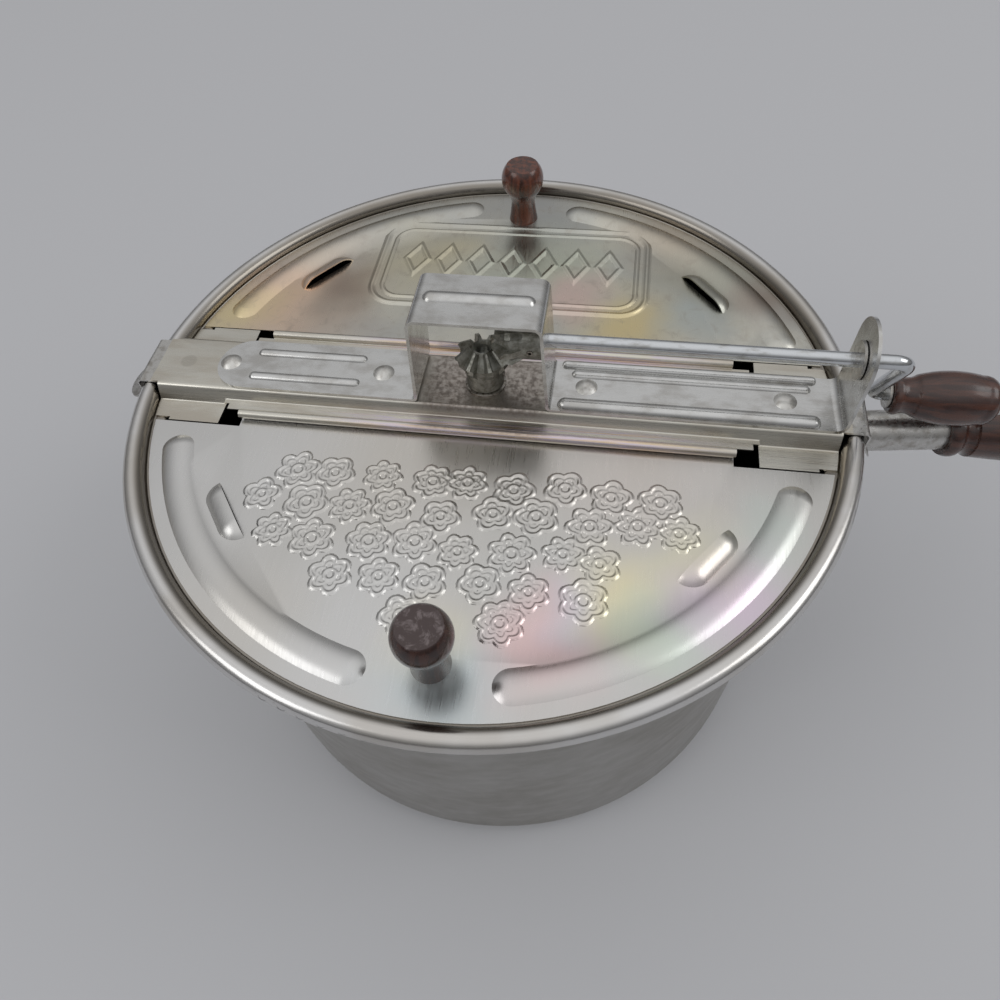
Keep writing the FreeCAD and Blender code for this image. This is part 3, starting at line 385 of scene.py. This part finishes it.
def sheet_grain(tree, shader, roughest):
    """The tin's upright grain, and the faint buckle of the sheet under it."""
    grain = spots(tree, (2.2, 0.10, 0.5), 3)
    cover(tree, shader, roughness=scale_to(tree, grain, 0.3, 0.7, 0.27, roughest))
    grain_up = raise_by(tree, shader, grain, 0.0012, 0.3)
    raise_by(tree, shader, spots(tree, (0.05, 0.05, 0.05), 3), 0.09, 0.30, over=grain_up)


front_tin, tree, shader = finish("front_lid_tinplate", (0.64, 0.635, 0.62), 0.3)
cloud = clouds(tree, (0.012, 0.012, 0.0), 3, 0.35, 0.65)
colour = mix(tree, cloud, (0.655, 0.65, 0.64), (0.60, 0.59, 0.565))
for place, reach, strength, tint in (
        ((28, -88), 26, 0.75, (0.86, 0.60, 0.60)), ((36, -79), 15, 0.55, (0.60, 0.66, 0.80)),
        ((49, -74), 24, 0.75, (0.86, 0.78, 0.50)), ((68, -58), 22, 0.55, (0.80, 0.76, 0.52)),
        ((60, -84), 20, 0.5, (0.60, 0.74, 0.62)), ((80, -70), 24, 0.6, (0.76, 0.60, 0.76)),
        ((4, -104), 26, 0.5, (0.58, 0.72, 0.76)), ((-2, -92), 18, 0.4, (0.82, 0.72, 0.50)),
        ((90, -48), 20, 0.35, (0.60, 0.72, 0.66)), ((-60, -95), 34, 0.35, (0.66, 0.62, 0.56)),
        ((-20, -24), 60, 0.35, (0.60, 0.54, 0.46)), ((50, -24), 50, 0.3, (0.70, 0.58, 0.50))):
    colour = tint_at(tree, colour, place, reach, strength, tint)
cover(tree, shader, colour)
sheet_grain(tree, shader, 0.33)
dress("front_lid", front_tin, sheet_edges)

rear_tin, tree, shader = finish("rear_lid_tinplate", (0.60, 0.58, 0.52), 0.3)
cloud = clouds(tree, (0.022, 0.03, 0.0), 5, 0.34, 0.66, rough=0.6)
colour = mix(tree, cloud, (0.64, 0.62, 0.54), (0.52, 0.52, 0.49))
for place, reach, strength, tint in (
        ((-88, 40), 50, 0.9, (0.74, 0.54, 0.40)), ((-104, 30), 26, 0.7, (0.78, 0.66, 0.36)),
        ((-62, 50), 26, 0.9, (0.34, 0.27, 0.22)), ((-36, 70), 36, 0.7, (0.60, 0.54, 0.36)),
        ((-72, 76), 30, 0.6, (0.54, 0.50, 0.44)), ((10, 66), 44, 0.7, (0.54, 0.58, 0.46)),
        ((44, 34), 28, 0.8, (0.74, 0.60, 0.30)), ((74, 64), 42, 0.85, (0.38, 0.38, 0.32)),
        ((94, 56), 22, 0.8, (0.30, 0.24, 0.20)), ((60, 88), 34, 0.7, (0.52, 0.44, 0.34)),
        ((0, 106), 48, 0.6, (0.38, 0.39, 0.40)), ((-40, 104), 38, 0.6, (0.42, 0.42, 0.40)),
        ((24, 50), 20, 0.6, (0.78, 0.54, 0.50)), ((64, 40), 20, 0.5, (0.48, 0.56, 0.58))):
    colour = tint_at(tree, colour, place, reach, strength, tint)
mottle = clouds(tree, (0.16, 0.16, 0.0), 6, 0.50, 0.70, shift=(4, 2, 0), rough=0.68, warp=0.6)
colour = mix(tree, times(tree, mottle, 0.35), colour, (0.36, 0.32, 0.27))
cover(tree, shader, colour)
sheet_grain(tree, shader, 0.35)
dress("rear_lid", rear_tin, sheet_edges)


# Pressed pattern of the front leaf: a bed of plain lobed rosettes, each a raised double outline
# with a small raised ring inside, pressed up from below.
lid_top = 0.1475
least_rise = 0.00002  # any lower, and the pattern has run out into the flat tin
tucked_under = 0.00005
skin_thickness = 0.00020
grid_step = 0.0004


def pressed_sheet(name, low, high, heights, material, body):
    """A thin skin on the lid, raised by heights(x, y) in metres and kept only where it rises."""
    across_count, deep_count = (int(round((high[i] - low[i]) / grid_step)) for i in (0, 1))
    bpy.ops.object.select_all(action="DESELECT")
    bpy.ops.mesh.primitive_grid_add(x_subdivisions=across_count, y_subdivisions=deep_count,
                                    size=1.0)
    skin = bpy.context.object
    skin.name = name
    mesh = skin.data
    points = np.empty(len(mesh.vertices) * 3)
    mesh.vertices.foreach_get("co", points)
    points = points.reshape(-1, 3)
    x = low[0] + (points[:, 0] + 0.5) * (high[0] - low[0])
    y = low[1] + (points[:, 1] + 0.5) * (high[1] - low[1])
    rise = heights(x, y)
    points[:, 0], points[:, 1] = x, y
    points[:, 2] = lid_top + np.where(rise > least_rise, rise, -tucked_under)
    mesh.vertices.foreach_set("co", points.ravel())
    mesh.update()

    # Keeps the cells with a raised corner, and fills in beside cells that meet only at a corner.
    raised = (rise > least_rise).reshape(deep_count + 1, across_count + 1)
    cells = raised[1:, 1:] | raised[:-1, 1:] | raised[1:, :-1] | raised[:-1, :-1]
    for _ in range(4):
        pinched = cells[1:, 1:] & cells[:-1, :-1] & ~cells[1:, :-1] & ~cells[:-1, 1:]
        cells[1:, :-1] |= pinched
        pinched = cells[1:, :-1] & cells[:-1, 1:] & ~cells[1:, 1:] & ~cells[:-1, :-1]
        cells[1:, 1:] |= pinched
    corners = np.empty(len(mesh.polygons) * 4, int)
    mesh.polygons.foreach_get("vertices", corners)
    first = corners.reshape(-1, 4).min(axis=1)
    row, column = first // (across_count + 1), first % (across_count + 1)
    bpy.context.tool_settings.mesh_select_mode = (False, False, True)
    mesh.polygons.foreach_set("select", ~cells[row, column])
    bpy.ops.object.mode_set(mode="EDIT")
    bpy.ops.mesh.delete(type="FACE")
    bpy.ops.mesh.select_all(action="SELECT")
    bpy.ops.mesh.normals_make_consistent(inside=False)
    bpy.ops.object.mode_set(mode="OBJECT")
    bpy.ops.object.shade_smooth()
    thick = skin.modifiers.new("sheet", "SOLIDIFY")
    thick.thickness, thick.offset = skin_thickness, -1.0
    bpy.ops.object.modifier_apply(modifier="sheet")
    mesh.materials.append(material)
    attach(skin, body)


def ridge(gap, width, rise):
    return np.exp(-(gap / width) ** 2) * rise


rosette_bed = [(-0.074, -0.046), (-0.050, -0.030), (0.058, -0.030), (0.078, -0.043),
               (0.030, -0.083), (-0.022, -0.086), (-0.046, -0.072)]


def inside(x, y, outline):
    """Whether a point lies inside a closed outline."""
    hit = False
    for (x0, y0), (x1, y1) in zip(outline, outline[1:] + outline[:1]):
        if (y0 > y) != (y1 > y) and x < (x1 - x0) * (y - y0) / (y1 - y0) + x0:
            hit = not hit
    return hit


def rosettes(x, y):
    """Rows of rosettes, every other row half a step along, each a little off its place."""
    chance = np.random.RandomState(41)
    height = np.zeros_like(x)
    rows, columns = 6, 13
    bed_left, bed_front = -0.084, -0.0850
    pitch_x, pitch_y = 0.0142, 0.0118
    outline_width, line_width = 0.00055, 0.00045
    outline_rise, inner_rise, eye_rise = 0.00055, 0.00026, 0.00040
    inner_inset, eye_share = 0.0019, 0.30
    for row in range(rows):
        for column in range(columns):
            cx = bed_left + (column + 0.5 * (row % 2)) * pitch_x + chance.uniform(-0.0020, 0.0020)
            cy = bed_front + row * pitch_y + chance.uniform(-0.0016, 0.0016)
            size = chance.uniform(0.0052, 0.0064)
            lobes, phase = chance.randint(5, 8), chance.uniform(0, 6.28)
            depth = chance.uniform(0.09, 0.14)
            if not inside(cx, cy, rosette_bed):
                continue
            dx, dy = x - cx, y - cy
            away = np.hypot(dx, dy)
            near = away < size * 1.7
            turn_to = np.arctan2(dy[near], dx[near])
            petal = np.abs(np.cos(0.5 * (lobes * turn_to + phase)))
            outline = size * (1 - depth + 2.4 * depth * petal - depth)
            gap = away[near] - outline
            ring = ridge(gap, outline_width, outline_rise)
            inner = ridge(gap + inner_inset, line_width, inner_rise)
            eye = ridge(away[near] - size * eye_share, line_width, eye_rise)
            own = np.maximum(np.maximum(ring, inner), eye)
            before = height[near]
            height[near] = np.where(gap < -0.0006, own, np.maximum(before, own))
    return height


pressed_sheet("front_lid_pressed_puffs", (-0.0900, -0.0960), (0.0900, -0.0200), rosettes,
              front_tin, "front_leaf")


# Pressed frame of the rear leaf: a plain double outline with round corners and a row of plain
# diamonds, raised from below.
def rounded(x, y, half_x, half_y, corner):
    """Distance past a rectangle with round corners, less than nothing inside it."""
    ax, ay = np.abs(x) - (half_x - corner), np.abs(y) - (half_y - corner)
    return (np.hypot(np.maximum(ax, 0), np.maximum(ay, 0))
            + np.minimum(np.maximum(ax, ay), 0) - corner)


def framed(x, y):
    middle_x, middle_y, diamonds_y = -0.001, 0.066, 0.068
    diamonds, diamond_pitch, half_wide, half_tall = 7, 0.0125, 0.0045, 0.0085
    outer = rounded(x - middle_x, y - middle_y, 0.052, 0.024, 0.010)
    inner = rounded(x - middle_x, y - middle_y, 0.0482, 0.0202, 0.0075)
    height = np.maximum(ridge(outer, 0.0008, 0.0007), ridge(inner, 0.0006, 0.0005))
    for i in range(diamonds):
        cx = middle_x + (i - diamonds // 2) * diamond_pitch
        lozenge = np.abs(x - cx) / half_wide + np.abs(y - diamonds_y) / half_tall - 1
        height = np.maximum(height, ridge(lozenge * 0.0042, 0.0008, 0.0006))
    return height


pressed_sheet("rear_lid_pressed_frame", (-0.0580, 0.0370), (0.0560, 0.0950), framed,
              rear_tin, "rear_leaf")


# Lid knobs: turned wood, each held by a screw and washer from below. The front one's flat top
# has lost its gloss and shows pale, crazed wood, and the rear one keeps a redder, glossy stain.
worn_top, sound_side = 0.1704, 0.1701  # heights on the front knob

worn_wood, tree, shader = finish("worn_knob_wood", (0.05, 0.018, 0.013), 0.3, 0.0)
up = put(tree, "ShaderNodeSeparateXYZ", {0: position(tree)}).outputs[2]
growth = spots(tree, (0.55, 0.55, 0.06), 4, warp=0.6)
stain = scale_to(tree, growth, 0.35, 0.68)
stained = mix(tree, stain, (0.020, 0.007, 0.005), (0.052, 0.018, 0.011))
on_top = scale_to(tree, up, sound_side, worn_top)
flecks = clouds(tree, (0.30, 0.30, 0.1), 6, 0.50, 0.66, rough=0.70, warp=0.5)
top_colour = mix(tree, times(tree, flecks, 0.7), (0.045, 0.024, 0.022), (0.22, 0.18, 0.18))
side_roughness = scale_to(tree, growth, 0.35, 0.7, 0.2, 0.32)
top_roughness = scale_to(tree, flecks, 0, 1, 0.3, 0.6)
cover(tree, shader, mix(tree, on_top, stained, top_colour),
      mix(tree, on_top, side_roughness, top_roughness))
shader.inputs["Coat Weight"].default_value = 0.35
shader.inputs["Coat Roughness"].default_value = 0.14
raise_by(tree, shader, flecks, 0.06, 0.4)
dress("front_lid_knob", worn_wood)

red_wood, tree, shader = finish("red_knob_wood", (0.10, 0.03, 0.016), 0.28, 0.0)
growth = spots(tree, (0.5, 0.5, 0.06), 4, warp=0.6)
stain = scale_to(tree, growth, 0.35, 0.68)
cover(tree, shader, mix(tree, stain, (0.040, 0.012, 0.007), (0.145, 0.038, 0.016)),
      clouds(tree, (0.7, 0.7, 0.5), 4, 0.35, 0.7, 0.2, 0.34))
shader.inputs["Coat Weight"].default_value = 0.6
shader.inputs["Coat Roughness"].default_value = 0.12
raise_by(tree, shader, growth, 0.05, 0.35)
dress("rear_lid_knob", red_wood)
for name in ("front_knob_washer", "front_knob_screw", "rear_knob_washer", "rear_knob_screw"):
    dress(name, plain_steel)
